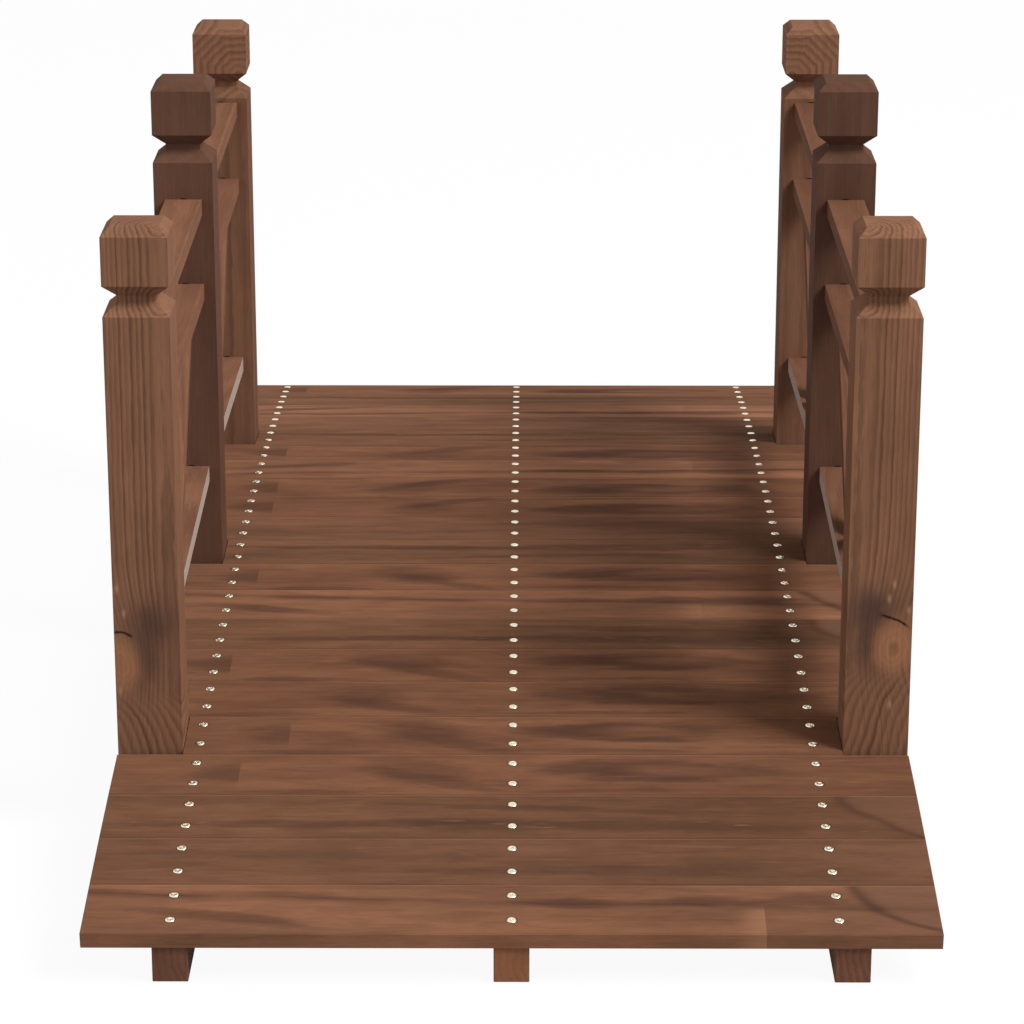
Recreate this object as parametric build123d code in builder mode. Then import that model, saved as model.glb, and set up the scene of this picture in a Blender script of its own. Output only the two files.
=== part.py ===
"""Arched wooden garden bridge: a plank deck on three stringers, with a railing on each side.

The bridge runs along Y and is symmetric about both upright planes through its origin, which
lies on the ground under the middle of the deck. The near end is at -Y and the left side at -X.
"""
import os
from math import asin, atan2, cos, sin, sqrt

from build123d import *

# Whole bridge
bridge_length = 1500
bridge_width = 670
bridge_height = 561

# Deck: boards laid across the bridge on a shallow arc
board_count = 21
board_thickness = 13
board_gap = 0.5
board_edge_chamfer = 0.4
deck_end_height = 43
deck_rise = 54

# Stringers: arched bearers with a flat foot at each end
stringer_thickness = 28
stringer_setback = 4
foot_length = 100
arch_rise = 35

# Posts: square, with a grooved neck under a chamfered cap, each beside the end of a short board
post_size = 55
post_board_numbers = (5, 11, 17)
end_post_drop = 30
post_reveal = 6
post_board_clearance = 0.4
cap_chamfer = 7
cap_side = 41
groove_depth = 11.5
groove_face_height = 10.5
neck_height = 5

# Rails: flat boards with a round tenon at each end, in bores drilled into the posts
rail_width = 34
rail_thickness = 15
top_rail_drop = 4.5
upper_rail_gap = 66
bottom_rail_lift = 80.5
tenon_diameter = 14
tenon_length = 20
bore_diameter = 17
bore_end_clearance = 2

# Braces: a V of two square legs in each bay, between the middle and the bottom rail
brace_width = 15
brace_cut_length = 20
brace_post_inset = 13.5
brace_meeting_gap = 1

# Deck arc, through the tops of the end boards and the crown
half_length = bridge_length / 2
deck_radius = (half_length**2 + deck_rise**2) / (2 * deck_rise)
deck_crown = deck_end_height + deck_rise
deck_centre_height = deck_crown - deck_radius
deck_arc_length = 2 * deck_radius * asin(half_length / deck_radius)
board_width = (deck_arc_length - (board_count - 1) * board_gap) / board_count
board_pitch_angle = (board_width + board_gap) / deck_radius

# Stringer outline
seat_radius = deck_radius - board_thickness
seat_crown = deck_crown - board_thickness
stringer_end = half_length - stringer_setback
stringer_end_height = deck_centre_height + sqrt(seat_radius**2 - stringer_end**2)
arch_foot = stringer_end - foot_length
arch_radius = (arch_foot**2 + arch_rise**2) / (2 * arch_rise)

# Places across the bridge
post_x = (bridge_width - post_size) / 2
post_inner_x = bridge_width / 2 - post_size
sides = {"left": -1, "right": 1}


def board_angle(number):
    """Angle of a deck board about the centre of the deck arc, from the crown."""
    return (number - (board_count + 1) / 2) * board_pitch_angle


def deck_height(y):
    """Height of the deck's top arc at a place along the bridge."""
    return deck_centre_height + sqrt(deck_radius**2 - y**2)


def arch_height(y):
    """Height of the stringers' arched underside at a place along the bridge."""
    return arch_rise - arch_radius + sqrt(arch_radius**2 - y**2)


# Places along the bridge: the posts, and the bay between the faces of two posts
post_ys = [deck_radius * sin(board_angle(number)) for number in post_board_numbers]
near_post_y, middle_post_y, far_post_y = post_ys
bay_start = middle_post_y + post_size / 2
bay_end = far_post_y - post_size / 2
bay_middle = (bay_start + bay_end) / 2
bays = {"near": -1, "far": 1}

# Post tops, and the top and middle rails, set down from the shoulders of the end posts
end_post_top = bridge_height - end_post_drop
head_height = cap_chamfer + cap_side + 2 * groove_face_height + neck_height
top_rail_height = end_post_top - head_height - top_rail_drop
middle_rail_height = top_rail_height - rail_thickness - upper_rail_gap

# Bottom rail, along the chord of the deck under its bay
bottom_rail_slope = atan2(deck_height(bay_end) - deck_height(bay_start), bay_end - bay_start)
bottom_rail_depth = rail_thickness / cos(bottom_rail_slope)
bottom_rail_start = deck_height(bay_start) + bottom_rail_lift + bottom_rail_depth
bottom_rail_end = deck_height(bay_end) + bottom_rail_lift + bottom_rail_depth

# Each rail's top at the middle post and at the end post, and its upright depth
rails = {
    "top_rail": (top_rail_height, top_rail_height, rail_thickness),
    "middle_rail": (middle_rail_height, middle_rail_height, rail_thickness),
    "bottom_rail": (bottom_rail_start, bottom_rail_end, bottom_rail_depth),
}


def bottom_rail_top(y):
    """Height of the bottom rail's top face in a bay, y from the middle of the bridge."""
    along = (y - bay_start) / (bay_end - bay_start)
    return bottom_rail_start + along * (bottom_rail_end - bottom_rail_start)


def write(builder, name):
    """Label a finished piece and write it as its own file."""
    builder.part.label = name
    export_step(builder.part, f"parts/{name}.step")


def make_board(number):
    """One deck board, tangent to the deck arc, short where it lies between two posts."""
    angle = board_angle(number)
    length = bridge_width
    if number in post_board_numbers:
        length = 2 * (post_inner_x - post_board_clearance)
    place = Plane(
        origin=(0, deck_radius * sin(angle), deck_centre_height + deck_radius * cos(angle)),
        x_dir=(1, 0, 0),
        z_dir=(0, sin(angle), cos(angle)),
    )
    with BuildPart() as board:
        with BuildSketch(place):
            Rectangle(length, board_width)
        extrude(amount=-board_thickness)
        top_face = board.faces().sort_by(Axis.Z)[-1]
        chamfer(top_face.edges().filter_by(Axis.X), length=board_edge_chamfer)
    write(board, f"deck_board_{number:02d}")


def make_stringer(name, inner_x):
    """One arched bearer: a flat foot at each end, an arched underside and a curved seat."""
    with BuildPart() as stringer:
        with BuildSketch(Plane.YZ.offset(inner_x)):
            with BuildLine():
                Line((-stringer_end, 0), (-arch_foot, 0))
                ThreePointArc((-arch_foot, 0), (0, arch_rise), (arch_foot, 0))
                Line((arch_foot, 0), (stringer_end, 0))
                Line((stringer_end, 0), (stringer_end, stringer_end_height))
                ThreePointArc(
                    (stringer_end, stringer_end_height),
                    (0, seat_crown),
                    (-stringer_end, stringer_end_height),
                )
                Line((-stringer_end, stringer_end_height), (-stringer_end, 0))
            make_face()
        extrude(amount=stringer_thickness)
    write(stringer, name)


def half_post_outline(height):
    """Right half of a post's outline, seen square on, from its foot up to its chamfered top."""
    half = post_size / 2
    neck = half - groove_depth
    cap_edge = height - cap_chamfer
    cap_bottom = cap_edge - cap_side
    neck_top = cap_bottom - groove_face_height
    neck_bottom = neck_top - neck_height
    shoulder = neck_bottom - groove_face_height
    return (
        (0, 0),
        (half, 0),
        (half, shoulder),
        (neck, neck_bottom),
        (neck, neck_top),
        (half, cap_bottom),
        (half, cap_edge),
        (half - cap_chamfer, height),
        (0, height),
    )


def make_post(name, x, y, top, bored_faces):
    """One post, with a bore for each rail in the faces that look along the railing."""
    foot = arch_height(y) + post_reveal
    front = Plane(origin=(x, y, foot), x_dir=(1, 0, 0), z_dir=(0, -1, 0))
    side = Plane(origin=(x, y, foot), x_dir=(0, 1, 0), z_dir=(1, 0, 0))
    bores = []
    for facing in bored_faces:
        for start, end, depth in rails.values():
            rail_top = start if y == middle_post_y else end
            bores.append(
                Plane(
                    origin=(x, y + facing * post_size / 2, rail_top - depth / 2),
                    x_dir=(1, 0, 0),
                    z_dir=(0, facing, 0),
                )
            )
    with BuildPart() as post:
        for view, mode in ((front, Mode.ADD), (side, Mode.INTERSECT)):
            with BuildSketch(view):
                with BuildLine():
                    Polyline(*half_post_outline(top - foot))
                    mirror(about=Plane.YZ)
                make_face()
            extrude(amount=post_size / 2, both=True, mode=mode)
        with Locations(*bores):
            Hole(bore_diameter / 2, depth=tenon_length + bore_end_clearance)
    write(post, name)


def make_rail(name, x, bay, start, end, depth):
    """One rail between two posts, its ends cut square to the posts, with a tenon at each end."""
    ends = ((bay_start, start, -1), (bay_end, end, 1))
    with BuildPart() as rail:
        with BuildSketch(Plane.YZ.offset(x)):
            with BuildLine():
                Polyline(
                    (bay * bay_start, start),
                    (bay * bay_end, end),
                    (bay * bay_end, end - depth),
                    (bay * bay_start, start - depth),
                    close=True,
                )
            make_face()
        extrude(amount=rail_width / 2, both=True)
        for y, top, outward in ends:
            end_face = Plane(
                origin=(x, bay * y, top - depth / 2),
                x_dir=(1, 0, 0),
                z_dir=(0, bay * outward, 0),
            )
            with BuildSketch(end_face):
                Circle(tenon_diameter / 2)
            extrude(amount=tenon_length)
    write(rail, name)


def brace_legs():
    """Start and end, at the top and at the foot, of the two legs of one bay's V."""
    top = bay_start + brace_post_inset
    foot = bay_middle - brace_meeting_gap / 2
    inner_leg = (top, top + brace_cut_length, foot - brace_cut_length, foot)
    top = bay_end - brace_post_inset
    foot = bay_middle + brace_meeting_gap / 2
    outer_leg = (top - brace_cut_length, top, foot, foot + brace_cut_length)
    return inner_leg, outer_leg


def make_braces(name, x):
    """The braces of one side: two legs in each bay, cut to the rails above and below."""
    top = middle_rail_height - rail_thickness
    with BuildPart() as braces:
        with BuildSketch(Plane.YZ.offset(x)):
            for bay in bays.values():
                for top_start, top_end, foot_start, foot_end in brace_legs():
                    with BuildLine():
                        Polyline(
                            (bay * top_start, top),
                            (bay * top_end, top),
                            (bay * foot_end, bottom_rail_top(foot_end)),
                            (bay * foot_start, bottom_rail_top(foot_start)),
                            close=True,
                        )
                    make_face()
        extrude(amount=brace_width / 2, both=True)
    write(braces, name)


os.makedirs("parts", exist_ok=True)

for board_number in range(1, board_count + 1):
    make_board(board_number)

make_stringer("left_stringer", -post_inner_x)
make_stringer("middle_stringer", -stringer_thickness / 2)
make_stringer("right_stringer", post_inner_x - stringer_thickness)

for side_name, side_sign in sides.items():
    side_x = side_sign * post_x
    make_post(f"{side_name}_near_post", side_x, near_post_y, end_post_top, (1,))
    make_post(f"{side_name}_middle_post", side_x, middle_post_y, bridge_height, (-1, 1))
    make_post(f"{side_name}_far_post", side_x, far_post_y, end_post_top, (-1,))
    for bay_name, bay_sign in bays.items():
        for rail_name, (rail_start, rail_end, rail_depth) in rails.items():
            full_name = f"{side_name}_{bay_name}_{rail_name}"
            make_rail(full_name, side_x, bay_sign, rail_start, rail_end, rail_depth)
    make_braces(f"{side_name}_braces", side_x)
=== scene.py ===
"""Looks of the arched wooden garden bridge: stained wood, deck screws, studio light and camera."""
import math
from collections import namedtuple
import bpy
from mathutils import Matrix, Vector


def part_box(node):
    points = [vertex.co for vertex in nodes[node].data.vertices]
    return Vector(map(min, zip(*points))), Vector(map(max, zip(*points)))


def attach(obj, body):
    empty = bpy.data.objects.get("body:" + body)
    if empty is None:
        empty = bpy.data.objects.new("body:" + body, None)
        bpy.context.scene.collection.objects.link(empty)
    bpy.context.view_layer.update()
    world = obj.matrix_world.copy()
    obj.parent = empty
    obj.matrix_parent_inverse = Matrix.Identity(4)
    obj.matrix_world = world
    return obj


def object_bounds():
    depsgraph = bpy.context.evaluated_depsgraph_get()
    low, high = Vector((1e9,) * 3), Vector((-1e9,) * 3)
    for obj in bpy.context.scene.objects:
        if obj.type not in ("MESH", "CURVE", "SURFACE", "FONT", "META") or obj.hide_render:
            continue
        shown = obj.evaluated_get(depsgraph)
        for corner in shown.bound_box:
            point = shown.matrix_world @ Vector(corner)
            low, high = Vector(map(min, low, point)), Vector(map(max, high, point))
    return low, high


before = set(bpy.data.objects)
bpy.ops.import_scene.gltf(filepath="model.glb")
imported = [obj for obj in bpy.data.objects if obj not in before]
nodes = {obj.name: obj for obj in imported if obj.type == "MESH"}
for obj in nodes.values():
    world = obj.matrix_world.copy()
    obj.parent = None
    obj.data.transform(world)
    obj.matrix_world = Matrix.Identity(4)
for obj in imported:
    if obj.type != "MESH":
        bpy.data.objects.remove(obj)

from types import SimpleNamespace

import bmesh
import bpy
from mathutils import Matrix, Vector

cad_low, cad_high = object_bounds()

# Deck: the rise of the arc that carries the boards, and the figure of each board from the near end.
# From the first turned board on, figures are mirrored across the board
deck_rise = 0.054
board_figures = "VPFHHHHFVHFPHHVHFPVFH"
board_count = len(board_figures)
first_turned_board = 11

# Screws: rows along the three stringers, two in each board
screw_rows = {"left": -0.2665, "middle": 0.0, "right": 0.2555}
screw_acrosses = (-0.0152, 0.0205)
screw_radius = 0.0039
screw_rise = 0.0007
screw_sink = 0.0004

# Edges of the sawn wood, slightly rounded where the faces turn by more than an angle, after corners
# within the weld distance are joined. The boards keep their small chamfers
edge_radius = 0.0009
edge_segments = 2
edge_angle = math.radians(30)
board_edge_angle = math.radians(60)
weld_distance = 0.00001

# Camera, looking along the bridge from above its near end
camera_place = Vector((0.0100, -3.3000, 1.2398))
camera_tilt = math.radians(18.47)
camera_turn = math.radians(0.215)
camera_lens = 126.96
camera_sensor = 36.0

# Turn that lays the axis of a piece's rings along the bridge
quarter_turn = math.radians(90)
along_bridge = (quarter_turn, 0, 0)

# Soft step: a low and a high value, and what it gives at each
Ramp = namedtuple("Ramp", "low high to_low to_high", defaults=(0.0, 1.0))

# Noise: scales along the three axes, a seed of its own, detail and roughness
Noise = namedtuple("Noise", "scales seed detail roughness", defaults=(3.0, 0.5))
noise_middle = 0.5
seed_steps = (1.37, 2.11, 0.83)


def stain(red, green, blue):
    """Linear colour with full opacity from the 0 to 255 values seen on a screen."""
    linear = []
    for value in (red, green, blue):
        share = value / 255
        linear.append(share / 12.92 if share <= 0.04045 else ((share + 0.055) / 1.055) ** 2.4)
    return (*linear, 1.0)


class Graph:
    """One material, built node by node."""

    def __init__(self, name):
        self.material = bpy.data.materials.new(name)
        self.material.use_nodes = True
        self.tree = self.material.node_tree
        self.shader = self.tree.nodes["Principled BSDF"]

    def node(self, kind, **settings):
        made = self.tree.nodes.new(kind)
        for key, value in settings.items():
            setattr(made, key, value)
        return made

    def feed(self, socket, value):
        """Links a socket to another one, or sets it to a plain value."""
        if isinstance(value, bpy.types.NodeSocket):
            self.tree.links.new(value, socket)
        else:
            socket.default_value = value

    def fed(self, made, *values):
        """The node, with its first sockets fed in order."""
        for socket, value in zip(made.inputs, values):
            self.feed(socket, value)
        return made

    def math(self, operation, *values):
        return self.fed(self.node("ShaderNodeMath", operation=operation), *values).outputs[0]

    def add(self, a, b):
        return self.math("ADD", a, b)

    def subtract(self, a, b):
        return self.math("SUBTRACT", a, b)

    def times(self, a, b):
        return self.math("MULTIPLY", a, b)

    def span(self, value, low, high, to_low=0.0, to_high=1.0):
        """A soft step from to_low to to_high as the value goes from low to high."""
        made = self.node("ShaderNodeMapRange", interpolation_type="SMOOTHSTEP")
        return self.fed(made, value, low, high, to_low, to_high).outputs[0]

    def bell(self, value, middle, reach):
        """1 where the value is at the middle, falling off to 0 over about the reach."""
        offset = self.math("DIVIDE", self.subtract(value, middle), reach)
        return self.math("EXPONENT", self.times(self.times(offset, offset), -1.0))

    def length(self, a, b):
        """Length of a line with these two legs."""
        return self.math("SQRT", self.add(self.times(a, a), self.times(b, b)))

    def centred(self, noise):
        """Noise that goes to both sides of 0."""
        return self.subtract(noise, noise_middle)

    def place(self, centre=(0, 0, 0), turn=(0, 0, 0)):
        """Coordinates in metres in a frame of the piece's own."""
        source = self.node("ShaderNodeTexCoord").outputs["Object"]
        made = self.node("ShaderNodeMapping", vector_type="TEXTURE")
        return self.fed(made, source, centre, turn).outputs[0]

    def split(self, vector):
        return self.fed(self.node("ShaderNodeSeparateXYZ"), vector).outputs[:]

    def join(self, x, y, z):
        return self.fed(self.node("ShaderNodeCombineXYZ"), x, y, z).outputs[0]

    def stretch(self, vector, scales, offset):
        made = self.node("ShaderNodeVectorMath", operation="MULTIPLY_ADD")
        return self.fed(made, vector, scales, offset).outputs[0]

    def move(self, vector, offset):
        return self.fed(self.node("ShaderNodeVectorMath", operation="ADD"), vector, offset).outputs[0]

    def normal(self):
        """X, Y and Z of the direction that the surface faces."""
        return self.split(self.node("ShaderNodeNewGeometry").outputs["True Normal"])

    def noise(self, vector, kind, seed=0.0, output="Fac"):
        """Noise of one kind, laid out by the seeds of the piece and of the kind."""
        made = self.node("ShaderNodeTexNoise")
        offset = [(seed + kind.seed) * step for step in seed_steps]
        self.feed(made.inputs["Vector"], self.stretch(vector, kind.scales, offset))
        self.feed(made.inputs["Scale"], 1.0)
        self.feed(made.inputs["Detail"], kind.detail)
        self.feed(made.inputs["Roughness"], kind.roughness)
        return made.outputs[output]

    def wave(self, vector, kind, seed, reach):
        """Coordinates pushed about by soft noise, by up to half the reach each way."""
        noise = self.noise(vector, kind, seed, "Color")
        return self.move(vector, self.stretch(noise, reach, [-share / 2 for share in reach]))

    def mix(self, factor, a, b, blend="MIX"):
        made = self.node("ShaderNodeMix", data_type="RGBA", blend_type=blend)
        for index, value in ((0, factor), (6, a), (7, b)):
            self.feed(made.inputs[index], value)
        return made.outputs[2]

    def shade(self, colour, amount):
        """The colour made darker or lighter by a factor that varies over the surface."""
        return self.mix(1.0, colour, self.join(amount, amount, amount), "MULTIPLY")

    def finish(self, colour, rough, height, depth, specular):
        """Feeds the shader: colour, roughness, and bump of a real depth in metres."""
        bump = self.node("ShaderNodeBump")
        self.feed(bump.inputs["Strength"], 1.0)
        self.feed(bump.inputs["Distance"], depth)
        self.feed(bump.inputs["Height"], height)
        self.feed(self.shader.inputs["Base Color"], colour)
        self.feed(self.shader.inputs["Roughness"], rough)
        self.feed(self.shader.inputs["Normal"], bump.outputs[0])
        self.feed(self.shader.inputs["Specular IOR Level"], specular)
        return self.material


# Matte wood: gloss, and depth of the bump of its fibres
wood_specular = 0.002
fibre_depth = 0.0004

# How nearly a surface has to face a direction to be masked: loosely and strictly
facing = Ramp(0.6, 0.8)
facing_squarely = Ramp(0.75, 0.9)

# Stains of the deck; the dark and the pale one also paint shade and highlights along the board edges
deck_dark = stain(70, 48, 40)
deck_pale = stain(158, 114, 86)
deck_grey = stain(108, 78, 62)
deck_end = stain(92, 62, 46)
# Painted shade: the dark ring round each screw
screw_painted_shade = stain(40, 27, 22)

# Figures of the deck boards: V has dark veins, H dark heartwood, F pale flecks, P is plain.
# Each has two stains, and a stretch along the board where it is darker
Tone = namedtuple("Tone", "low high swell_place swell_reach swell")
deck_tones = {
    "V": Tone(stain(120, 83, 63), stain(137, 94, 70), 0.10, 0.11, -0.13),
    "H": Tone(stain(109, 73, 55), stain(123, 84, 62), 0.27, 0.10, -0.15),
    "F": Tone(stain(105, 74, 55), stain(117, 81, 60), 0.20, 0.18, -0.24),
    "P": Tone(stain(107, 75, 57), stain(119, 82, 62), 0.15, 0.18, -0.15),
}

# Painted light: boards are painted paler toward the far end, standing in for brighter light on the
# far boards, and their long edges are painted paler than their faces, standing in for more light on
# those sides
first_board_painted_light = 0.95
painted_light_per_board = 0.0172
long_edge_painted_light = 0.30

# Noises of the deck wood, along, across and through a board
deck_seed_step = 3.7
deck_wave = Noise((9, 24, 24), 0, 2.0)
deck_wave_reach = (0.030, 0.010, 0.010)
deck_cloud = Noise((4, 26, 26), 1)
deck_streak = Noise((13, 220, 220), 2, 4.0, 0.62)
deck_mottle = Noise((20, 70, 70), 3, 4.0, 0.62)
deck_fibre = Noise((60, 1000, 1000), 4, 3.0, 0.6)
deck_thread = Noise((26, 520, 520), 5, 3.0, 0.6)

# What the noises do: mix the two stains, shade, darken, pale, roughen and raise the wood
cloud_mix = Ramp(0.34, 0.66)
mottle_shades = Ramp(0.28, 0.72, 0.89, 1.10)
dark_streaks = Ramp(0.53, 0.72, 0.0, 0.25)
pale_streaks = Ramp(0.45, 0.28, 0.0, 0.16)
deck_fibre_shades = Ramp(0.25, 0.75, 0.93, 1.06)
deck_roughness = Ramp(0.25, 0.75, 0.48, 0.66)
deck_fibre_height = 0.6
deck_streak_height = 0.4

# Painted shade and painted highlight along the long edges of a board's top: a dark line on the near
# edge for the shade of the gap, a pale line on the far edge for light caught by its rounded edge.
# Width, and strengths
edge_line = 0.0022
edge_line_core = edge_line / 3
near_edge_shade_strength = 0.34
far_edge_highlight_strength = 0.36

# Rings on the ends of the boards: spacing, how far below the board their middle lies, and shades
end_ring = 0.0032
end_ring_depth = 0.05
end_ring_shades = Ramp(-1.0, 1.0, 0.80, 1.08)

# Painted shade round a screw, standing in for the shade of its countersink: reach in screw radii, and
# strength
screw_shade_reach = 1.35
screw_shade_strength = 0.75

# Lenses of dark wood: middle along the board, half length, lane across the board,
# slant of the lane, half width and strength
Lens = namedtuple("Lens", "middle reach lane slant half_width strength")
lens_taper = 1.6
lens_edge = Ramp(1.30, 0.10)
lens_raggedness = {"streak": 0.8, "thread": 0.9, "mottle": 0.8}

# Heartwood boards: the lenses on their left, which some boards have moved along, and on their right
left_lenses = (
    Lens(-0.096, 0.050, 0.006, -0.10, 0.025, 0.38),
    Lens(-0.070, 0.058, -0.013, -0.36, 0.012, 0.40),
    Lens(-0.190, 0.070, -0.031, 0.00, 0.005, 0.40),
)
left_lens_shifts = {4: 0.013, 5: 0.022, 6: -0.038, 7: -0.005, 14: -0.015}
right_lenses = (
    Lens(0.118, 0.060, -0.008, 0.00, 0.005, 0.46),
    Lens(0.070, 0.110, -0.028, 0.00, 0.004, 0.34),
)

# Stave joint near the left end of a heartwood board, and the dark lens that it cuts off
stub_joints = {4: -0.229, 5: -0.191, 6: -0.285, 7: -0.252}
usual_stub_joint = -0.243
stub_lens = Lens(0.0, 0.046, 0.002, 0.00, 0.020, 0.54)
stub_greyness = 0.15

# Eye: the large lens at the right of a heartwood board, dark round a paler core, with a dark head
# at its start
Eye = namedtuple("Eye", "start end core")
eyes = {
    4: Eye(0.022, 0.232, 0.60),
    5: Eye(0.008, 0.182, 0.85),
    6: Eye(0.022, 0.266, 0.35),
    7: Eye(0.017, 0.226, 0.50),
}
usual_eye = Eye(0.026, 0.246, 0.50)
eye_lane = 0.008
eye_slant = -0.04
eye_half_width = 0.020
eye_strength = 0.66
core_offset_share = 0.14
core_reach_share = 0.55
core_width_share = 0.52
eye_head = Lens(0.040, 0.056, 0.009, -0.04, 0.018, 0.42)

# Flecked boards: dark lenses, moved along from board to board, and short pale flecks beside them
fleck_lenses = (
    Lens(-0.130, 0.190, -0.012, 0.01, 0.007, 0.48),
    Lens(0.120, 0.230, -0.014, -0.02, 0.012, 0.38),
    Lens(0.060, 0.160, 0.012, -0.05, 0.006, 0.36),
)
fleck_shift = 0.03
fleck_shift_turn = 1.7
fleck_noise = Noise((34, 420, 420), 5.0, 1.0)
flecks_shown = Ramp(0.66, 0.76, 0.0, 0.40)
fleck_lane = -0.015
fleck_lane_reach = 0.012
fleck_cross_grain = 0.50

# Plain boards: faint lenses, moved along from board to board
plain_lenses = (
    Lens(-0.150, 0.200, 0.010, 0.00, 0.008, 0.20),
    Lens(0.120, 0.240, -0.014, 0.00, 0.010, 0.24),
)
plain_shift = 0.05
plain_shift_turn = 2.9

# Veined boards: the vein's lane across the board, slant and straying, half widths of the line and
# of the soft band round it, and how it comes and goes
vein_lenses = (
    Lens(-0.228, 0.075, -0.012, -0.18, 0.009, 0.50),
    Lens(0.050, 0.050, 0.010, 0.00, 0.008, 0.45),
    Lens(0.150, 0.055, 0.012, 0.00, 0.009, 0.50),
    Lens(0.225, 0.040, 0.014, 0.00, 0.010, 0.50),
)
vein_lane = 0.012
vein_slant = -0.035
vein_wander = 0.016
vein_wander_noise = Noise((5, 1, 1), 0.3)
vein_raggedness = 0.006
vein_half_width = 0.0018
vein_band = 0.0058
vein_band_strength = 0.75
vein_fade_noise = Noise((11, 1, 1), 4.1, 2.0)
vein_shown = Ramp(0.25, 0.60, 0.15, 0.75)
vein_cross_grain = 0.65

# Staves of the veined boards, which are paler on one half just before a joint
stave_joints = {1: 0.198, 9: 0.174, 15: 0.185, 19: 0.188}
stave_pale_strengths = {1: 0.50, 9: 0.20, 15: 0.25, 19: 0.30}
stave_pale_length = 0.028
stave_pale_half = Ramp(0.006, -0.006)

# Cross grain at the right end of a board: place, half width and bow of its dark line, and the
# greyer wood behind it
sweep_place = 0.290
sweep_half_width = 0.007
sweep_bow = 14.0
sweep_grey = Ramp(-0.002, 0.010, 0.0, 0.9)

board_low, board_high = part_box("deck_board_11")
board_thickness = board_high.z - board_low.z
board_half_width = (board_high.y - board_low.y) / 2
half_length = cad_high.y
deck_radius = (half_length**2 + deck_rise**2) / (2 * deck_rise)


def board_name(number):
    return f"deck_board_{number:02d}"


def board_frame(number):
    """Middle of a board, and its slope along the bridge."""
    low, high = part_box(board_name(number))
    middle = (low + high) / 2
    return middle, -math.asin(middle.y / deck_radius)


def lens_mask(graph, wood, lens, shift):
    """A lens with pointed, feathered ends, ragged along the grain."""
    gap = graph.subtract(wood.along, lens.middle + shift)
    share = graph.math("ABSOLUTE", graph.math("DIVIDE", gap, lens.reach))
    lane = graph.add(graph.times(gap, lens.slant), lens.lane)
    side = graph.math("DIVIDE", graph.subtract(wood.across, lane), lens.half_width)
    far = graph.add(graph.math("POWER", share, lens_taper), graph.times(side, side))
    for noise, amount in lens_raggedness.items():
        far = graph.add(far, graph.times(graph.centred(getattr(wood, noise)), amount))
    return graph.span(far, *lens_edge)


def add_lenses(graph, colour, wood, lenses, shift):
    """The colour with some lenses, all moved along the board by the shift."""
    for lens in lenses:
        mask = lens_mask(graph, wood, lens, shift)
        colour = graph.mix(graph.times(mask, lens.strength), colour, deck_dark)
    return colour


def paint_eye(graph, colour, wood, eye):
    """A large dark lens round a paler core."""
    middle = (eye.start + eye.end) / 2
    reach = (eye.end - eye.start) / 2
    whole = Lens(middle, reach, eye_lane, eye_slant, eye_half_width, eye_strength)
    core = Lens(middle + core_offset_share * reach, core_reach_share * reach, eye_lane, eye_slant,
                core_width_share * eye_half_width, eye.core)
    colour = add_lenses(graph, colour, wood, (eye_head,), eye.start)
    dark = graph.times(lens_mask(graph, wood, whole, 0.0), whole.strength)
    pale = graph.times(lens_mask(graph, wood, core, 0.0), core.strength)
    return graph.mix(graph.times(dark, graph.subtract(1.0, pale)), colour, deck_dark)


def heart_figure(graph, colour, wood, number):
    """Board with dark lenses, and a stave joint near its left end."""
    joint = stub_joints.get(number, usual_stub_joint)
    before = graph.math("LESS_THAN", wood.straight, joint)
    stub = graph.times(lens_mask(graph, wood, stub_lens, joint), before)
    colour = graph.mix(graph.times(stub, stub_lens.strength), colour, deck_dark)
    colour = graph.mix(graph.times(before, stub_greyness), colour, deck_grey)
    colour = add_lenses(graph, colour, wood, left_lenses, left_lens_shifts.get(number, 0.0))
    colour = paint_eye(graph, colour, wood, eyes.get(number, usual_eye))
    return add_lenses(graph, colour, wood, right_lenses, 0.0)


def cross_grain(graph, colour, wood, number, strength):
    """Greyer wood behind a curved dark line at the right end of a board that is not turned."""
    if number >= first_turned_board:
        return colour
    bow = graph.times(graph.times(wood.across, wood.across), sweep_bow)
    line = graph.subtract(graph.add(wood.along, wood.across), graph.add(bow, sweep_place))
    colour = graph.mix(graph.times(graph.span(line, *sweep_grey), strength), colour, deck_grey)
    dark = graph.times(graph.bell(line, 0.0, sweep_half_width), strength)
    return graph.mix(dark, colour, deck_dark)


def vein_figure(graph, colour, wood, number):
    """Warm board with a wandering dark vein, and a pale stave that ends at a joint."""
    line = graph.join(wood.along, 0.0, 0.0)
    wander = graph.times(graph.centred(graph.noise(line, vein_wander_noise, number)), vein_wander)
    ragged = graph.times(graph.centred(wood.streak), vein_raggedness)
    lane = graph.add(graph.times(wood.along, vein_slant), vein_lane)
    place = graph.add(graph.add(wander, lane), ragged)
    thin = graph.bell(wood.across, place, vein_half_width)
    soft = graph.times(graph.bell(wood.across, place, vein_band), vein_band_strength)
    shown = graph.span(graph.noise(line, vein_fade_noise, number), *vein_shown)
    colour = graph.mix(graph.times(graph.math("MAXIMUM", thin, soft), shown), colour, deck_dark)
    colour = add_lenses(graph, colour, wood, vein_lenses, 0.0)
    joint = stave_joints[number]
    before = graph.math("LESS_THAN", wood.straight, joint)
    pale = graph.times(graph.span(wood.straight, joint - stave_pale_length, joint), before)
    pale = graph.times(pale, graph.span(wood.across, *stave_pale_half))
    colour = graph.mix(graph.times(pale, stave_pale_strengths[number]), colour, deck_pale)
    return cross_grain(graph, colour, wood, number, vein_cross_grain)


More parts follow.
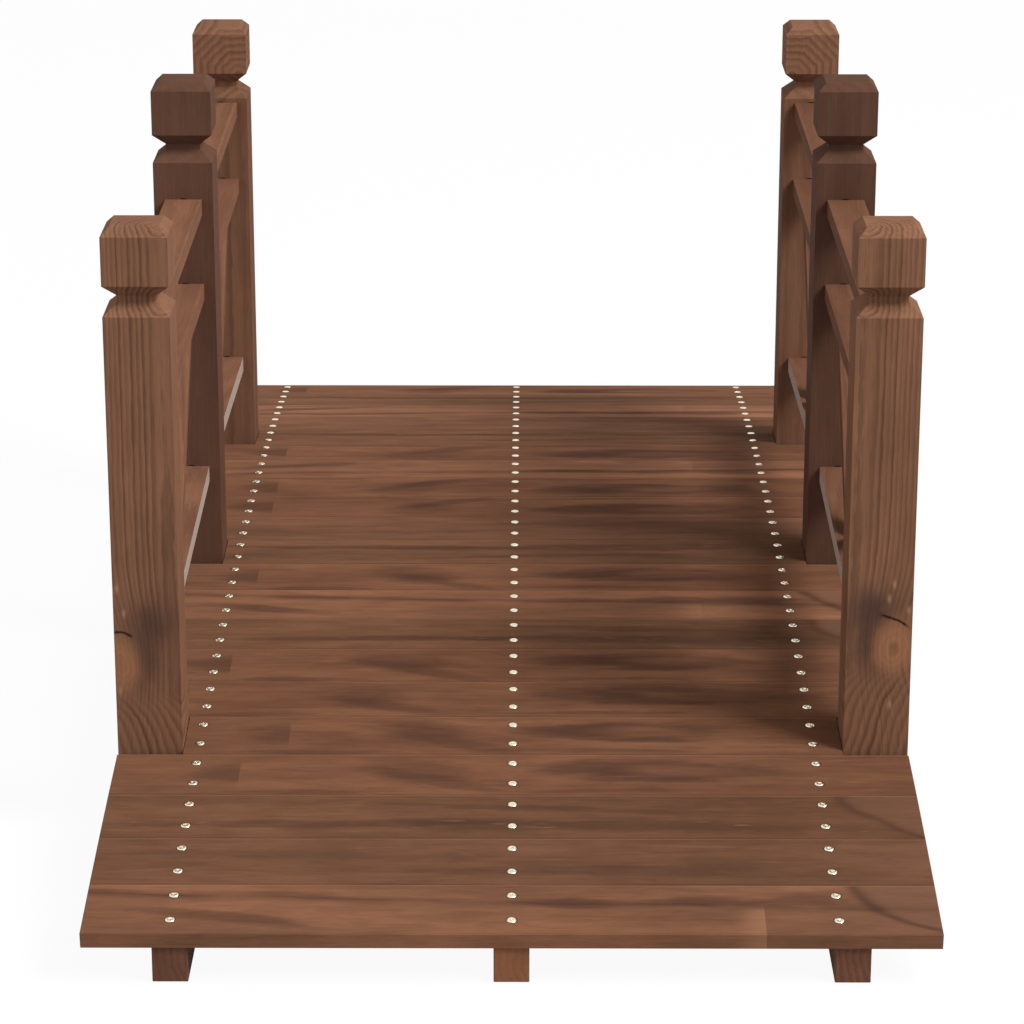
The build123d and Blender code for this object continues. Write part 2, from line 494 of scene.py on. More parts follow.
def fleck_figure(graph, colour, wood, number):
    """Greyer board with long dark streaks and short pale flecks beside them."""
    shift = fleck_shift * math.sin(number * fleck_shift_turn)
    colour = add_lenses(graph, colour, wood, fleck_lenses, shift)
    flecks = graph.span(graph.noise(wood.place, fleck_noise, number), *flecks_shown)
    pale = graph.times(flecks, graph.bell(wood.across, fleck_lane, fleck_lane_reach))
    colour = graph.mix(pale, colour, deck_pale)
    return cross_grain(graph, colour, wood, number, fleck_cross_grain)


def plain_figure(graph, colour, wood, number):
    """Greyer board with faint streaks."""
    shift = plain_shift * math.sin(number * plain_shift_turn)
    return add_lenses(graph, colour, wood, plain_lenses, shift)


deck_figures = {"V": vein_figure, "H": heart_figure, "F": fleck_figure, "P": plain_figure}


def nearest(graph, value, places):
    """Distance from a value to the nearest of some places."""
    gap = None
    for place in places:
        here = graph.math("ABSOLUTE", graph.subtract(value, place))
        gap = graph.math("MINIMUM", gap, here) if gap else here
    return gap


def paint_screw_shade(graph, colour, wood):
    """Painted shade: a dark ring round each screw, standing in for the shade of its countersink."""
    row = nearest(graph, wood.straight, screw_rows.values())
    lane = nearest(graph, wood.level, screw_acrosses)
    reach = screw_radius * screw_shade_reach
    ring = graph.span(graph.length(row, lane), reach, screw_radius, 0.0, screw_shade_strength)
    return graph.mix(ring, colour, screw_painted_shade)


def paint_edge_shade_and_highlight(graph, colour, level, top):
    """On the top of a board, painted shade: a dark line along its near edge, where the gap shades it;
    and painted highlight: a pale one along its far edge, where its rounded edge catches light.
    """
    near = graph.span(level, edge_line - board_half_width, edge_line_core - board_half_width)
    near = graph.times(graph.times(near, top), near_edge_shade_strength)
    far = graph.span(level, board_half_width - edge_line, board_half_width - edge_line_core)
    far = graph.times(graph.times(far, top), far_edge_highlight_strength)
    return graph.mix(far, graph.mix(near, colour, deck_dark), deck_pale)


def end_grain(graph, colour, wood, normal_x):
    """Growth rings on a sawn end, where the surface faces along the grain."""
    radius = graph.length(wood.level, graph.add(wood.deep, end_ring_depth))
    rings = graph.math("SINE", graph.times(radius, 2 * math.pi / end_ring))
    sawn = graph.shade(deck_end, graph.span(rings, *end_ring_shades))
    return graph.mix(graph.span(graph.math("ABSOLUTE", normal_x), *facing), colour, sawn)


def board_wood(graph, number):
    """Places on a board, straight and wavy, and the noises of its wood."""
    middle, slope = board_frame(number)
    local = graph.place(middle, (slope, 0, 0))
    straight, level, deep = graph.split(local)
    seed = number * deck_seed_step
    place = graph.wave(local, deck_wave, seed, deck_wave_reach)
    along, across = graph.split(place)[:2]
    turned = -1.0 if number >= first_turned_board else 1.0
    return SimpleNamespace(
        place=place, straight=straight, level=level, deep=deep,
        along=along, across=graph.times(across, turned),
        cloud=graph.noise(place, deck_cloud, seed),
        streak=graph.noise(place, deck_streak, seed),
        mottle=graph.noise(place, deck_mottle, seed),
        thread=graph.noise(place, deck_thread, seed),
        fibre=graph.noise(local, deck_fibre, seed),
    )


def board_material(number):
    """Stained plank: streaks along X, its own figure, end grain on its ends."""
    graph = Graph(f"{board_name(number)}_wood")
    wood = board_wood(graph, number)
    figure = board_figures[number - 1]
    tone = deck_tones[figure]
    colour = graph.mix(graph.span(wood.cloud, *cloud_mix), tone.low, tone.high)
    swell = graph.times(graph.bell(wood.along, tone.swell_place, tone.swell_reach), tone.swell)
    # Painted light: a shade that grows paler from board to board toward the far end
    painted_light = first_board_painted_light + painted_light_per_board * (number - 1)
    colour = graph.shade(colour, graph.add(swell, painted_light))
    colour = graph.shade(colour, graph.span(wood.mottle, *mottle_shades))
    colour = graph.mix(graph.span(wood.streak, *dark_streaks), colour, deck_dark)
    colour = graph.mix(graph.span(wood.streak, *pale_streaks), colour, deck_pale)
    colour = deck_figures[figure](graph, colour, wood, number)
    colour = graph.shade(colour, graph.span(wood.fibre, *deck_fibre_shades))
    normal_x, normal_y, normal_z = graph.normal()
    colour = paint_edge_shade_and_highlight(graph, colour, wood.level, graph.span(normal_z, *facing))
    colour = paint_screw_shade(graph, colour, wood)
    # Painted light: faces of the long edges are made paler, standing in for more light falling on
    # them
    painted_light_faces = graph.span(graph.math("ABSOLUTE", normal_y), *facing_squarely)
    colour = graph.shade(colour, graph.add(graph.times(painted_light_faces, long_edge_painted_light), 1.0))
    colour = end_grain(graph, colour, wood, normal_x)
    rough = graph.span(wood.streak, *deck_roughness)
    height = graph.add(graph.times(wood.fibre, deck_fibre_height),
                       graph.times(wood.streak, deck_streak_height))
    return graph.finish(colour, rough, height, fibre_depth, wood_specular)


# Stains of the posts, rails, braces and stringers
Stain = namedtuple("Stain", "light dark contrast")
near_post_stains = {
    "left": Stain(stain(141, 101, 78), stain(88, 59, 46), 0.66),
    "right": Stain(stain(137, 98, 75), stain(86, 57, 44), 0.64),
}
middle_post_stains = {
    "left": Stain(stain(102, 72, 58), stain(88, 61, 49), 0.35),
    "right": Stain(stain(95, 67, 54), stain(82, 57, 46), 0.35),
}
far_post_stain = Stain(stain(136, 97, 75), stain(97, 66, 51), 0.55)
rail_stains = {
    "left": Stain(stain(134, 94, 72), stain(106, 72, 55), 0.50),
    "right": Stain(stain(117, 81, 62), stain(92, 62, 47), 0.50),
}
stringer_stains = {
    "left": Stain(stain(118, 82, 65), stain(93, 64, 51), 0.50),
    "middle": Stain(stain(148, 99, 72), stain(120, 79, 58), 0.45),
    "right": Stain(stain(125, 85, 67), stain(96, 65, 51), 0.60),
}
bare_side = stain(180, 164, 154)
bare_strength = 0.9
knot_core = stain(163, 114, 82)
knot_shade = stain(84, 63, 55)
crack_stain = stain(36, 23, 19)
resin_stain = stain(190, 146, 114)

# Growth rings: spacing, and seeds, with a step from rail to rail and from stringer to stringer
near_post_ring = 0.0042
middle_post_ring = 0.011
far_post_ring = 0.009
rail_ring = 0.0046
stringer_ring = 0.0055
near_post_seed = 11.0
middle_post_seed = 21.0
far_post_seed = 31.0
rail_seed = 41.0
rail_seed_step = 1.9
brace_seed = 71.0
stringer_seed = 81.0
stringer_seed_step = 2.7

# Noises of ringed wood, across and along the rings' axis: what makes the rings stray and fuzzy,
# the fibres and soft blotches
ring_wave = Noise((13, 13, 2.4), 0, 2.0)
ring_wander = (0.005, 0.005, 0.0)
ring_jitter = Noise((60, 60, 1.6), 1, 2.0)
ring_jitter_share = 1.2
ring_fuzz = Noise((420, 420, 60), 4)
ring_fuzz_share = 0.55
ring_fibre = Noise((720, 720, 24), 2, 3.0, 0.6)
ring_blotch = Noise((30, 30, 9), 3, 5.0, 0.62)

# What they do: late wood that starts softly and ends sharply in each ring, strengths of the rings,
# shades, roughness and height
late_wood_start = Ramp(0.15, 0.75)
late_wood_end = Ramp(1.0, 0.80)
ring_strengths = Ramp(0.0, 1.0, 0.45, 1.0)
blotch_shades = Ramp(0.28, 0.72, 0.86, 1.10)
ring_fibre_shades = Ramp(0.25, 0.75, 0.92, 1.07)
ring_roughness = Ramp(0.3, 0.7, 0.50, 0.64)
ring_height = 0.5

# Calm wood in the plane of the pith: half width, and strength of the lines there
near_post_calm = 0.008
least_calm = 0.0001
calm_line_strength = 0.6

# Pith of the posts: from the axis toward the deck, and behind the near face
Pith = namedtuple("Pith", "inward depth")
near_post_pith = Pith(0.020, 0.012)
middle_post_pith = Pith(0.05, -0.06)
far_post_pith = Pith(-0.03, 0.05)

# Pith of the rails, which strays sideways from rail to rail and lies below them, of the braces,
# sideways and square to a leg, and of the stringers, sideways and above their foot
rail_pith_stray = 0.012
rail_pith_turn = 2.3
rail_pith_drop = 0.03
brace_pith_side = 0.02
brace_pith_aside = 0.03
stringer_pith_side = 0.05
stringer_pith_rise = 0.02

# Rings on the face of a far post's cap: spacing, middle inward of the axis and below the top,
# cut corners, fuzz and strength. The body of the post is darker than its cap
cap_ring = 0.0072
cap_ring_inward = 0.020
cap_ring_drop = 0.050
cap_ring_corner = 0.70
cap_ring_fuzz = Noise((160, 160, 160), 3.0, 2.0)
cap_ring_fuzz_share = 0.6
cap_ring_seed = 3.0
cap_ring_strength = 0.70
cap_face = Ramp(-0.003, 0.004)
cap_paleness = 0.8
far_body_shades = Ramp(-0.030, 0.0, 0.80, 1.0)

# Knots of the near posts, outward from the post's axis and up from the ground
Knot = namedtuple("Knot", "out z half_width half_height eye fan_top clouds crack resin")
Crack = namedtuple("Crack", "out z reach slope")
Cloud = namedtuple("Cloud", "out z reach rise strength")
knots = {
    "left": Knot(
        0.0235, 0.155, 0.022, 0.030, 0.10, 0.122,
        (Cloud(-0.004, 0.191, 0.020, 0.020, 0.80), Cloud(0.001, 0.160, 0.012, 0.026, 0.70)),
        Crack(0.0205, 0.1825, 0.011, 0.10),
        ((0.0240, 0.222), (0.0185, 0.200), (0.0240, 0.131)),
    ),
    "right": Knot(
        0.0130, 0.171, 0.022, 0.030, 0.45, 0.146,
        (Cloud(-0.006, 0.205, 0.021, 0.018, 0.92), Cloud(-0.009, 0.178, 0.011, 0.026, 0.85)),
        Crack(0.0125, 0.1960, 0.015, -0.45),
        ((0.0115, 0.227), (0.0075, 0.214), (0.0105, 0.119), (0.0240, 0.204)),
    ),
}

# Reach of a knot into the post, how far it pushes the rings inward, and how wide and high
knot_depth = 0.045
knot_push = 0.015
knot_push_width = 0.030
knot_push_height = 0.055

# Outlines round a knot stray by noise: its own, its clouds', its crack's and its fan's
stray_noise = Noise((60, 60, 45), 7.0)
knot_stray = 0.7
cloud_stray = 0.020
cloud_rise_stray = 0.024
crack_stray = 0.008
fan_stray = 0.9

# The knot itself, with its rings, its dark eye, a crack and specks of resin
knot_edge = Ramp(1.15, 0.35)
knot_strength = 0.85
knot_ring = 0.0052
knot_ring_seed = 9.0
knot_ring_strength = 0.16
knot_eye_edge = Ramp(0.26, 0.02)
crack_half_width = 0.0013
crack_bow = 12.0
resin_half_width = 0.0015
resin_half_height = 0.0036
resin_strength = 0.55

# Calm wood beside a knot: how far inward and up its middle lies, its reach, and how calm it is
calm_inward = 0.012
calm_rise = 0.008
calm_width = 0.026
calm_height = 0.044
calm_strength = 0.78
calm_shade = 0.80

# Lines that fan out below a knot: fade above and below their top, spacing, lean outward going up,
# and the bend away from the knot
fan_fade_above = 0.012
fan_fade_below = 0.016
fan_spacing = 0.0076
fan_seed = 5.0
fan_lean = 0.16
fan_bend = 0.016
fan_bend_length = 0.020
fan_contrast = 1.25
fan_shade = 0.98

# Number of the ring at a knot's middle, and of the line that a fan's lines are counted from
first_ring = 20.0


def growth_lines(graph, count, seed):
    """Dark late wood on a count of growth rings, each ring with a strength of its own."""
    phase = graph.math("FRACT", count)
    line = graph.times(graph.span(phase, *late_wood_start), graph.span(phase, *late_wood_end))
    ring = graph.node("ShaderNodeTexWhiteNoise", noise_dimensions="1D")
    graph.feed(ring.inputs["W"], graph.add(graph.math("FLOOR", count), seed))
    return graph.times(line, graph.span(ring.outputs["Value"], *ring_strengths))


def ring_lines(graph, local, seed, spacing, calm):
    """Growth rings about the local Z axis, with fuzzy, straying lines.

    Near the plane x = 0 the lines are broad, and fade over the calm width.
    """
    x, y = graph.split(graph.wave(local, ring_wave, seed, ring_wander))[:2]
    jitter = graph.times(graph.noise(local, ring_jitter, seed), ring_jitter_share)
    fuzz = graph.times(graph.noise(local, ring_fuzz, seed), ring_fuzz_share)
    count = graph.math("DIVIDE", graph.length(x, y), spacing)
    count = graph.add(count, graph.add(jitter, fuzz))
    fade = graph.span(graph.math("ABSOLUTE", x), 0.0, calm, calm_line_strength, 1.0)
    return graph.times(growth_lines(graph, count, seed), fade)


def ring_material(name, local_of, seed, spacing, stained, bend=None, paint=None, calm=least_calm):
    """Stained wood with growth rings about an axis of the piece's own."""
    graph = Graph(f"{name}_wood")
    local = local_of(graph)
    if bend:
        local = bend(graph, local)
    line = ring_lines(graph, local, seed, spacing, calm)
    fibre = graph.noise(local, ring_fibre, seed)
    blotch = graph.noise(local, ring_blotch, seed)
    colour = graph.shade(stained.light, graph.span(blotch, *blotch_shades))
    colour = graph.mix(graph.times(line, stained.contrast), colour, stained.dark)
    if paint:
        colour = paint(graph, colour)
    colour = graph.shade(colour, graph.span(fibre, *ring_fibre_shades))
    rough = graph.span(blotch, *ring_roughness)
    height = graph.add(graph.times(fibre, ring_height),
                       graph.times(line, -ring_height * stained.contrast))
    return graph.finish(colour, rough, height, fibre_depth, wood_specular)


def post_frame(name, pith):
    """Axis and corners of a post, the side that faces outward, and where its pith stands."""
    low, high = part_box(name)
    axis = (low + high) / 2
    outward = math.copysign(1, axis.x)
    stand = (axis.x - outward * pith.inward, low.y + pith.depth, 0.0)
    return SimpleNamespace(axis=axis, low=low, high=high, outward=outward, pith=stand)


def post_face(graph, post):
    """Places on a post's face: outward from its axis, up, and a mask that fades behind the face."""
    x, y, z = graph.split(graph.place((post.axis.x, 0, 0)))
    front = graph.span(y, post.low.y + knot_depth, post.low.y + knot_depth / 3)
    stray = graph.centred(graph.noise(graph.place(), stray_noise, post.outward))
    return SimpleNamespace(out=graph.times(x, post.outward), z=z, front=front, stray=stray)


def strayed(graph, face, value, share):
    """A value that strays by a share of the face's noise."""
    return graph.add(value, graph.times(face.stray, share))


def part_round_knot(graph, local, face, knot, outward):
    """Coordinates whose lines are pushed inward beside the knot."""
    up = graph.bell(face.z, knot.z, knot_push_height)
    near = graph.times(up, graph.bell(face.out, knot.out, knot_push_width))
    push = graph.times(graph.times(near, face.front), knot_push * outward)
    return graph.move(local, graph.join(push, 0.0, 0.0))


def paint_fan(graph, colour, face, fan_top, stained):
    """Soft lines that lean outward, in place of the rings below the knot."""
    below = graph.span(face.z, fan_top + fan_fade_above, fan_top - fan_fade_below)
    below = graph.times(below, face.front)
    colour = graph.mix(below, colour, graph.shade(stained.light, fan_shade))
    rise = graph.subtract(face.z, fan_top)
    bend = graph.times(graph.math("EXPONENT", graph.math("DIVIDE", rise, fan_bend_length)), fan_bend)
    place = graph.subtract(face.out, graph.add(graph.times(rise, fan_lean), bend))
    count = strayed(graph, face, graph.math("DIVIDE", place, fan_spacing), fan_stray)
    line = growth_lines(graph, graph.add(count, first_ring), fan_seed)
    strength = fan_contrast * stained.contrast
    return graph.mix(graph.times(graph.times(line, below), strength), colour, stained.dark)


def paint_clouds(graph, colour, face, knot, stained):
    """Calm wood and dark clouds beside a knot."""
    across = graph.bell(face.out, knot.out - calm_inward, calm_width)
    up = graph.bell(face.z, knot.z + calm_rise, calm_height)
    calm = graph.times(graph.times(graph.times(across, up), face.front), calm_strength)
    colour = graph.mix(calm, colour, graph.shade(stained.light, calm_shade))
    for cloud in knot.clouds:
        across = graph.bell(strayed(graph, face, face.out, cloud_stray), cloud.out, cloud.reach)
        up = graph.bell(strayed(graph, face, face.z, cloud_rise_stray), cloud.z, cloud.rise)
        mask = graph.times(graph.times(across, up), face.front)
        colour = graph.mix(graph.times(mask, cloud.strength), colour, knot_shade)
    return colour


def paint_core(graph, colour, face, knot, stained):
    """The knot itself, with faint rings and a dark eye."""
    across = graph.math("DIVIDE", graph.subtract(face.out, knot.out), knot.half_width)
    up = graph.math("DIVIDE", graph.subtract(face.z, knot.z), knot.half_height)
    far = strayed(graph, face, graph.length(across, up), knot_stray)
    core = graph.times(graph.span(far, *knot_edge), face.front)
    colour = graph.mix(graph.times(core, knot_strength), colour, knot_core)
    count = graph.math("DIVIDE", graph.times(far, knot.half_width), knot_ring)
    rings = graph.times(growth_lines(graph, graph.add(count, first_ring), knot_ring_seed), core)
    colour = graph.mix(graph.times(rings, knot_ring_strength), colour, stained.dark)
    eye = graph.times(graph.span(far, *knot_eye_edge), face.front)
    return graph.mix(graph.times(eye, knot.eye), colour, stained.dark)


def paint_crack(graph, colour, face, crack):
    """A bowed crack across the knot."""
    gap = graph.subtract(face.out, crack.out)
    bow = graph.times(graph.times(gap, gap), crack_bow)
    lean = graph.subtract(bow, graph.times(gap, crack.slope))
    rise = graph.add(strayed(graph, face, graph.subtract(face.z, crack.z), crack_stray), lean)
    shown = graph.span(graph.math("ABSOLUTE", gap), crack.reach, crack.reach / 2)
    line = graph.times(graph.bell(rise, 0.0, crack_half_width), shown)
    return graph.mix(graph.times(line, face.front), colour, crack_stain)


def paint_resin(graph, colour, face, places):
    """Pale specks of resin."""
    for out, z in places:
        across = graph.bell(face.out, out, resin_half_width)
        speck = graph.times(across, graph.bell(face.z, z, resin_half_height))
        mask = graph.times(graph.times(speck, face.front), resin_strength)
        colour = graph.mix(mask, colour, resin_stain)
    return colour


def near_post_material(side):
    """Near post: ring lines that part round a large knot low on its face."""
    name = f"{side}_near_post"
    post = post_frame(name, near_post_pith)
    knot = knots[side]
    stained = near_post_stains[side]

    def bend(graph, local):
        return part_round_knot(graph, local, post_face(graph, post), knot, post.outward)

    def paint(graph, colour):
        face = post_face(graph, post)
        colour = paint_fan(graph, colour, face, knot.fan_top, stained)
        colour = paint_clouds(graph, colour, face, knot, stained)
        colour = paint_core(graph, colour, face, knot, stained)
        colour = paint_crack(graph, colour, face, knot.crack)
        return paint_resin(graph, colour, face, knot.resin)

    return ring_material(name, lambda graph: graph.place(post.pith), near_post_seed + post.outward,
                         near_post_ring, stained, bend, paint, near_post_calm)


def middle_post_material(side):
    """Middle post: dark and nearly plain."""
    name = f"{side}_middle_post"
    post = post_frame(name, middle_post_pith)
    return ring_material(name, lambda graph: graph.place(post.pith), middle_post_seed + post.outward,
                         middle_post_ring, middle_post_stains[side])


def far_post_material(side):
    """Far post: soft streaks, with nested angular rings on its cap."""
    name = f"{side}_far_post"
    post = post_frame(name, far_post_pith)
    ring_middle = (post.axis.x - post.outward * cap_ring_inward, 0.0, post.high.z - cap_ring_drop)

    def paint(graph, colour):
        x, _, z = graph.split(graph.place(ring_middle))
        across = graph.math("ABSOLUTE", x)
        up = graph.math("ABSOLUTE", z)
        corner = graph.times(graph.add(across, up), cap_ring_corner)
        far = graph.math("MAXIMUM", graph.math("MAXIMUM", across, up), corner)
        fuzz = graph.times(graph.noise(graph.place(), cap_ring_fuzz), cap_ring_fuzz_share)
        count = graph.add(graph.math("DIVIDE", far, cap_ring), fuzz)
        cap = graph.span(z, *cap_face)
        colour = graph.shade(colour, graph.span(z, *far_body_shades))
        colour = graph.mix(graph.times(cap, cap_paleness), colour, far_post_stain.light)
        line = graph.times(growth_lines(graph, count, cap_ring_seed), cap)
        return graph.mix(graph.times(line, cap_ring_strength), colour, far_post_stain.dark)

    return ring_material(name, lambda graph: graph.place(post.pith), far_post_seed + post.outward,
                         far_post_ring, far_post_stain, None, paint)


def side_of(name):
    """The side that a piece's name starts with."""
    return name.split("_")[0]


def rail_material(name, number):
    """Rail: fine rings along the bridge, with a bare grey side toward the deck on a bottom rail."""
    low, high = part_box(name)
    middle = (low + high) / 2
    stray = rail_pith_stray * math.sin(number * rail_pith_turn)
    pith = (middle.x + stray, middle.y, low.z - rail_pith_drop)
    inward = -math.copysign(1, middle.x)

    def leave_bare(graph, colour):
        toward_deck = graph.span(graph.times(graph.normal()[0], inward), *facing_squarely)
        return graph.mix(graph.times(toward_deck, bare_strength), colour, bare_side)

    paint = leave_bare if "bottom" in name else None
    seed = rail_seed + number * rail_seed_step
    return ring_material(name, lambda graph: graph.place(pith, along_bridge), seed, rail_ring,
                         rail_stains[side_of(name)], None, paint)


def brace_material(name):
    """Braces: rings that follow the slope of each leg."""
    low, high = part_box(name)
    middle = (low + high) / 2
    rail_low, rail_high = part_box(name.replace("braces", "near_bottom_rail"))
    bay_middle = abs(rail_low.y + rail_high.y) / 2
    slope = math.atan2(high.z - low.z, high.y - bay_middle)

    def leg(graph):
        x, y, z = graph.split(graph.place())
        out = graph.math("ABSOLUTE", graph.subtract(graph.math("ABSOLUTE", y), bay_middle))
        up = graph.subtract(z, low.z)
        grain = graph.add(graph.times(out, math.cos(slope)), graph.times(up, math.sin(slope)))
        aside = graph.subtract(graph.times(out, math.sin(slope)), graph.times(up, math.cos(slope)))
        return graph.join(graph.subtract(x, middle.x + brace_pith_side),
                          graph.add(aside, brace_pith_aside), grain)

    return ring_material(name, leg, brace_seed, rail_ring, rail_stains[side_of(name)])


def stringer_material(name, number):
    """Stringer: broad rings along the bridge."""
    low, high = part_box(name)
    middle = (low + high) / 2
    pith = (middle.x + stringer_pith_side, middle.y, low.z + stringer_pith_rise)
    seed = stringer_seed + number * stringer_seed_step
    return ring_material(name, lambda graph: graph.place(pith, along_bridge), seed, stringer_ring,
                         stringer_stains[side_of(name)])


def dress(name, material, least_angle=edge_angle):
    """Gives a node its material, and rounds its edges slightly."""
    piece = nodes[name]
    piece.material_slots[0].material = material
    weld = piece.modifiers.new("Weld", "WELD")
    weld.merge_threshold = weld_distance
    round_edges = piece.modifiers.new("Edges", "BEVEL")
    round_edges.width = edge_radius
    round_edges.segments = edge_segments
    round_edges.limit_method = "ANGLE"
    round_edges.angle_limit = least_angle
    round_edges.harden_normals = True


for number in range(1, board_count + 1):
    dress(board_name(number), board_material(number), board_edge_angle)

for side in ("left", "right"):
    dress(f"{side}_near_post", near_post_material(side))
    dress(f"{side}_middle_post", middle_post_material(side))
    dress(f"{side}_far_post", far_post_material(side))
    dress(f"{side}_braces", brace_material(f"{side}_braces"))

rail_names = sorted(name for name in nodes if name.endswith("_rail"))
for number, name in enumerate(rail_names):
    dress(name, rail_material(name, number))

stringer_names = sorted(name for name in nodes if name.endswith("_stringer"))
for number, name in enumerate(stringer_names):
    dress(name, stringer_material(name, number))


# Screw heads: flat in the middle and rounded down to the rim, with a cross recess
screw_steps = 32
head_shares = (1.0, 0.97, 0.93, 0.88, 0.83, 0.77, 0.71, 0.64)
flat_share = head_shares[-1]
recess_depth = 0.0004
recess_reach_share = 0.28
recess_waist_share = 0.12
recess_floor_share = 0.70
recess_sharpness = 3

# How the recesses are turned: from board to board, from lane to lane and per metre across
board_turn = 2.4
lane_turn = 1.1
across_turn = 7.0

# Zinc plate of the screws: tints, scuffs and gloss
zinc_warm = stain(244, 232, 204)
zinc_pale = stain(238, 228, 208)
zinc_specular = 0.5
tint_noise = Noise((14, 14, 14), 5.0, 1.0)
tint_mix = Ramp(0.35, 0.65)
scuff_noise = Noise((900, 900, 900), 3.0)
scuff_shades = Ramp(0.3, 0.8, 1.0, 0.90)
scuff_roughness = Ramp(0.3, 0.7, 0.24, 0.34)
scuff_depth = 0.000004


def screw_material():
    """Pale yellow zinc plate with fine scuffs."""
    graph = Graph("screw_zinc")
    local = graph.place()
    scuff = graph.noise(local, scuff_noise)
    tint = graph.noise(local, tint_noise)
    colour = graph.mix(graph.span(tint, *tint_mix), zinc_warm, zinc_pale)
    colour = graph.shade(colour, graph.span(scuff, *scuff_shades))
    rough = graph.span(scuff, *scuff_roughness)
    graph.feed(graph.shader.inputs["Metallic"], 1.0)
    return graph.finish(colour, rough, scuff, scuff_depth, zinc_specular)


def recess_reach(angle):
    """Reach of the cross recess in a direction: long on its four arms, short between them."""
    lobe = abs(math.cos(2 * angle)) ** recess_sharpness
    return screw_radius * (recess_waist_share + (recess_reach_share - recess_waist_share) * lobe)


def add_ring(mesh, seat, reaches, height):
    """A closed ring of corners about a seat, with a reach of its own in each direction."""
    ring = []
    for step, reach in enumerate(reaches):
        angle = 2 * math.pi * step / screw_steps
        corner = Vector((reach * math.cos(angle), reach * math.sin(angle), height))
        ring.append(mesh.verts.new(seat @ corner))
    return ring


def add_screw(mesh, seat, turn):
    """One screw head on its seat, with its recess turned by some angle."""
    recess = [recess_reach(2 * math.pi * step / screw_steps + turn) for step in range(screw_steps)]
    recess_floor = [reach * recess_floor_share for reach in recess]
    rings = [add_ring(mesh, seat, [screw_radius] * screw_steps, -screw_sink)]
    for share in head_shares:
        rounding = (share - flat_share) / (1 - flat_share)
        rings.append(add_ring(mesh, seat, [screw_radius * share] * screw_steps,
                              screw_rise * (1 - rounding**2)))
    rings.append(add_ring(mesh, seat, recess, screw_rise))
    rings.append(add_ring(mesh, seat, recess_floor, screw_rise - recess_depth))
    for outer, inner in zip(rings, rings[1:]):
        for step in range(screw_steps):
            after = (step + 1) % screw_steps
            face = mesh.faces.new((outer[step], outer[after], inner[after], inner[step]))
            face.smooth = outer is not rings[-2]
    mesh.faces.new(rings[-1])


def screw_row(row, x, material):
    """All screws of one row, joined as one piece."""
    mesh = bmesh.new()
    for number in range(1, board_count + 1):
        middle, slope = board_frame(number)
        board = Matrix.Translation(middle) @ Matrix.Rotation(slope, 4, "X")
        for lane, across in enumerate(screw_acrosses):
            seat = board @ Matrix.Translation((x, across, board_thickness / 2))
            add_screw(mesh, seat, board_turn * number + lane_turn * lane + across_turn * x)
    data = bpy.data.meshes.new(f"{row}_screw_row")
    mesh.to_mesh(data)
    mesh.free()
    piece = bpy.data.objects.new(f"{row}_screw_row", data)
    bpy.context.scene.collection.objects.link(piece)
    data.materials.append(material)
    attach(piece, "root")


zinc = screw_material()
for row, x in screw_rows.items():
    screw_row(row, x, zinc)


# Studio: a white floor that keeps a soft shadow, an even white surround, and a key and a fill lamp
floor_size = 60.0
floor_drop = 0.0005
floor_white = 0.92
floor_bounce = 0.35
floor_roughness = 0.9
floor_glow = 0.94
surround_strength = 0.48
background_strength = 1.0
Lamp = namedtuple("Lamp", "place size power")
lamps = {
    "key": Lamp(Vector((4.33, -2.40, 5.20)), 2.8, 488.0),
    "fill": Lamp(Vector((-4.6, -1.4, 1.0)), 3.0, 38.0),
}
lamp_aim = Vector((0, 0, 0.25))


def white_to_eye(tree):
    """1 for the rays that see the background directly, in a mirror or through glass."""
    path = tree.nodes.new("ShaderNodeLightPath")
    seen = path.outputs["Is Camera Ray"]
    for name in ("Is Glossy Ray", "Is Transmission Ray"):
        either = tree.nodes.new("ShaderNodeMath")
        either.operation = "MAXIMUM"
        tree.links.new(seen, either.inputs[0])
        tree.links.new(path.outputs[name], either.inputs[1])
        seen = either.outputs[0]
    return seen


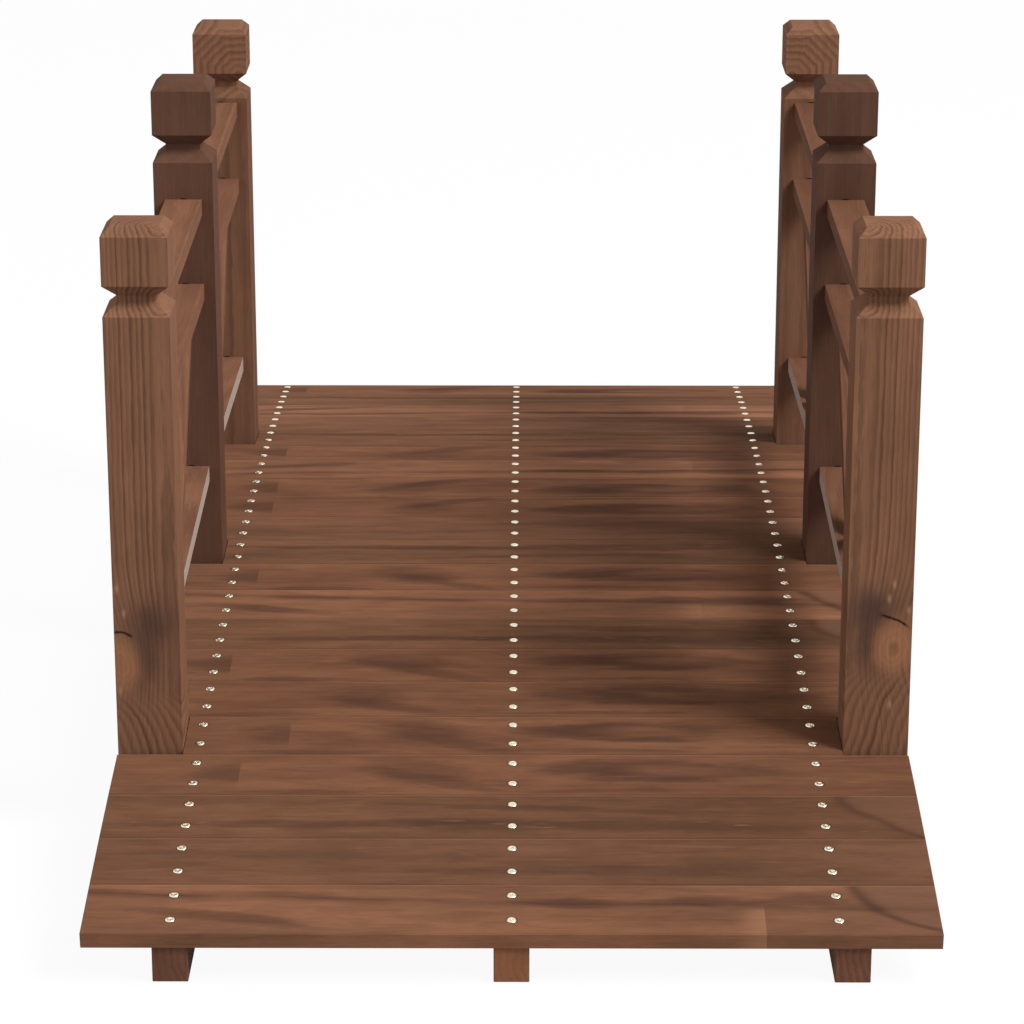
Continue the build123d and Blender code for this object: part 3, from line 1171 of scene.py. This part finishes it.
def make_floor():
    """Large floor, nearly white to the eye and darker in the light that it throws back."""
    data = bpy.data.meshes.new("floor")
    half = floor_size / 2
    corners = [(-half, -half), (half, -half), (half, half), (-half, half)]
    data.from_pydata([(x, y, -floor_drop) for x, y in corners], [], [(0, 1, 2, 3)])
    floor = bpy.data.objects.new("floor", data)
    bpy.context.scene.collection.objects.link(floor)
    graph = Graph("floor_white")
    seen = white_to_eye(graph.tree)
    shown, bounced = [(level, level, level, 1.0) for level in (floor_white, floor_bounce)]
    graph.feed(graph.shader.inputs["Base Color"], graph.mix(seen, bounced, shown))
    graph.feed(graph.shader.inputs["Roughness"], floor_roughness)
    glow = graph.node("ShaderNodeEmission")
    blend = graph.node("ShaderNodeMixShader")
    graph.fed(blend, graph.times(seen, floor_glow), graph.shader.outputs[0], glow.outputs[0])
    graph.feed(graph.tree.nodes["Material Output"].inputs["Surface"], blend.outputs[0])
    data.materials.append(graph.material)


def make_surround():
    """Even white surround: soft light on the object, full white to the eye."""
    world = bpy.data.worlds.new("surround")
    bpy.context.scene.world = world
    world.use_nodes = True
    tree = world.node_tree
    soft = tree.nodes["Background"]
    white = tree.nodes.new("ShaderNodeBackground")
    for background, strength in ((soft, surround_strength), (white, background_strength)):
        background.inputs["Color"].default_value = (1, 1, 1, 1)
        background.inputs["Strength"].default_value = strength
    blend = tree.nodes.new("ShaderNodeMixShader")
    tree.links.new(white_to_eye(tree), blend.inputs[0])
    tree.links.new(soft.outputs[0], blend.inputs[1])
    tree.links.new(white.outputs[0], blend.inputs[2])
    tree.links.new(blend.outputs[0], tree.nodes["World Output"].inputs["Surface"])


def make_lamp(name, lamp):
    """Square soft lamp, turned to its aim."""
    data = bpy.data.lights.new(name, "AREA")
    data.size = lamp.size
    data.energy = lamp.power
    made = bpy.data.objects.new(name, data)
    bpy.context.scene.collection.objects.link(made)
    made.location = lamp.place
    made.rotation_euler = (lamp_aim - lamp.place).to_track_quat("-Z", "Y").to_euler()


def make_camera():
    data = bpy.data.cameras.new("camera")
    data.lens = camera_lens
    data.sensor_width = camera_sensor
    camera = bpy.data.objects.new("camera", data)
    bpy.context.scene.collection.objects.link(camera)
    camera.location = camera_place
    camera.rotation_euler = (quarter_turn - camera_tilt, 0, camera_turn)
    bpy.context.scene.camera = camera


make_floor()
make_surround()
for lamp_name, lamp in lamps.items():
    make_lamp(lamp_name, lamp)
make_camera()
bpy.context.scene.view_settings.view_transform = "Standard"
